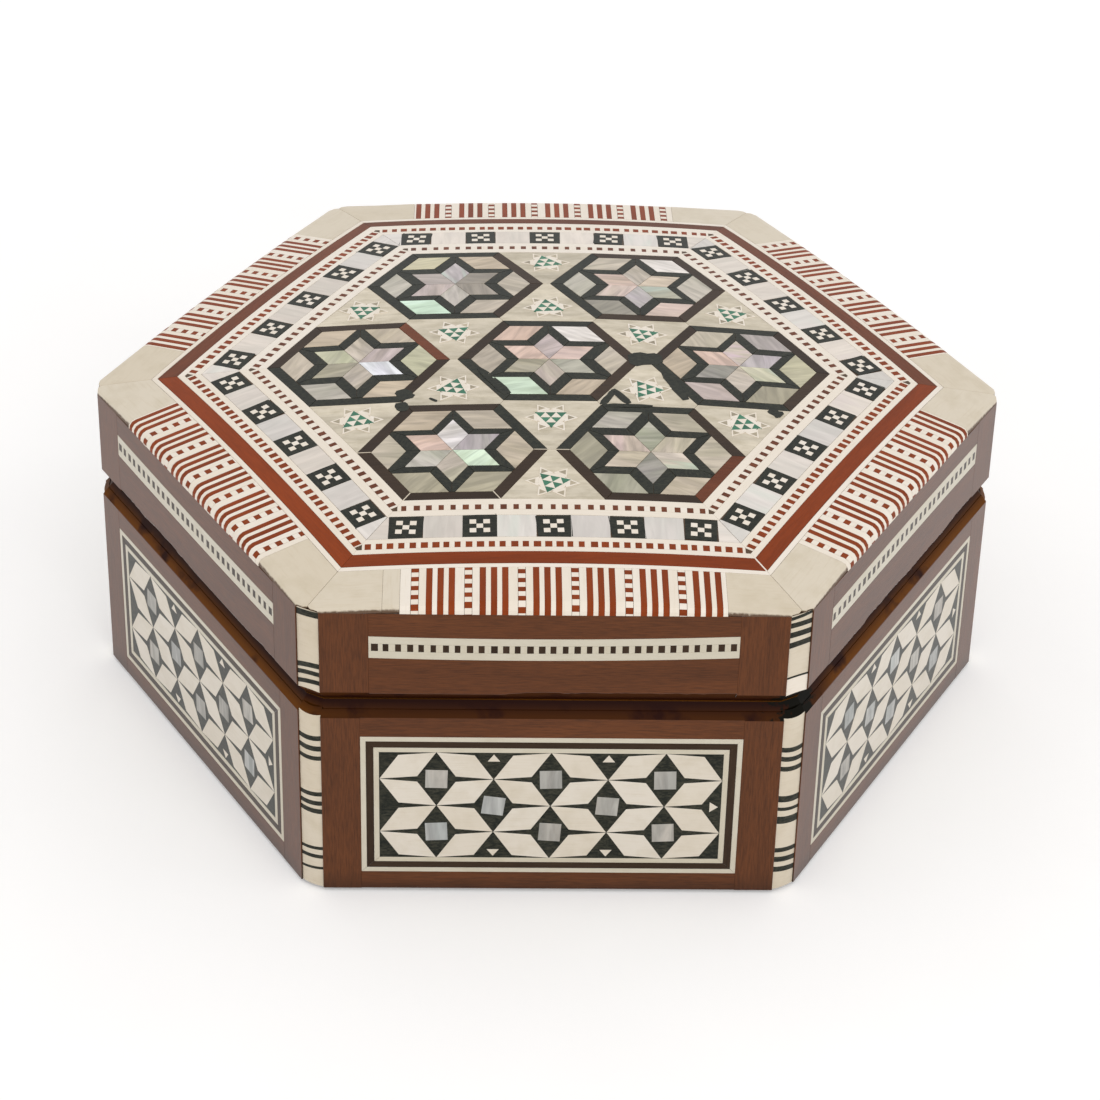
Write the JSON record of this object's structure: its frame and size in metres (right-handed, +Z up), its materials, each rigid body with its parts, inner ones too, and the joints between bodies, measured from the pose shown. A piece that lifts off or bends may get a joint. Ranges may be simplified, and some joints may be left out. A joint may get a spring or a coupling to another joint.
{
  "type": "inlaid wooden box",
  "caption": "Hexagonal wooden jewellery box with a crowned hinged lid, covered in bone, pearl shell and wood marquetry.",
  "frame": {"origin": "under the middle of the box, on the surface that it stands on", "axes": "+Z up; the front flat faces -Y, the hinges are at +Y, corners point along +X and -X"},
  "size_m": [0.1476, 0.13, 0.059],
  "materials": {
    "walnut_veneer": "lacquered brown veneer",
    "core_wood": "lacquered pale core wood",
    "bone": "polished bone under lacquer",
    "dark_wood": "lacquered dark brown strip",
    "black_wood": "lacquered black wood",
    "red_wood": "lacquered red wood",
    "check_banding": "bone and red wood check banding under lacquer",
    "striped_banding": "bone and red wood striped banding under lacquer",
    "mosaic_ground": "cream shell ground with a small mosaic under lacquer",
    "mother_of_pearl": "polished mother of pearl under lacquer",
    "velvet": "short pile",
    "felt": "felt",
    "hinge_brass": "polished, slightly dulled"
  },
  "bodies": {
    "base": {"base_bottom_board": "core_wood", "base_wall_front": "core_wood", "base_wall_front_right": "core_wood", "base_wall_back_right": "core_wood", "base_wall_back": "core_wood", "base_wall_back_left": "core_wood", "base_wall_front_left": "core_wood", "underside_felt": "felt", "base_veneer_stiles": "walnut_veneer", "base_veneer_rails": "walnut_veneer", "base_corner_strips": "bone", "panel_outer_bone_lines": "bone", "panel_dark_lines": "dark_wood", "panel_inner_bone_lines": "bone", "panel_grounds": "black_wood", "panel_bone_rhombs": "bone", "panel_pearl_squares": "mother_of_pearl", "base_floor_lining": "velvet", "base_wall_linings": "velvet", "hinge_left_base_leaf": "hinge_brass", "hinge_right_base_leaf": "hinge_brass"},
    "lid": {"lid_board": "core_wood", "lid_wall_front": "core_wood", "lid_wall_front_right": "core_wood", "lid_wall_back_right": "core_wood", "lid_wall_back": "core_wood", "lid_wall_back_left": "core_wood", "lid_wall_front_left": "core_wood", "lid_veneer_stiles": "walnut_veneer", "lid_veneer_rails": "walnut_veneer", "lid_corner_strips": "bone", "lid_wall_check_strips": "check_banding", "lid_bone_plates": "bone", "lid_striped_bands": "striped_banding", "lid_white_lines": "bone", "lid_red_bands": "red_wood", "lid_outer_check_strips": "check_banding", "lid_inner_check_strips": "check_banding", "lid_black_squares": "black_wood", "lid_pearl_plates": "mother_of_pearl", "hexagon_frames": "dark_wood", "star_rhombs": "mother_of_pearl", "corner_kites": "mother_of_pearl", "star_outlines": "black_wood", "triangle_grounds": "mosaic_ground", "lid_ceiling_lining": "velvet", "lid_wall_linings": "velvet", "hinge_left_lid_leaf": "hinge_brass", "hinge_right_lid_leaf": "hinge_brass"}
  },
  "joints": [
    {"name": "lid_hinge", "type": "hinge", "parent": "base", "child": "lid", "pos_m": [0, 0.06295, 0.0358], "axis": [-1, 0, 0], "range_deg": [0, 95]}
  ]
}
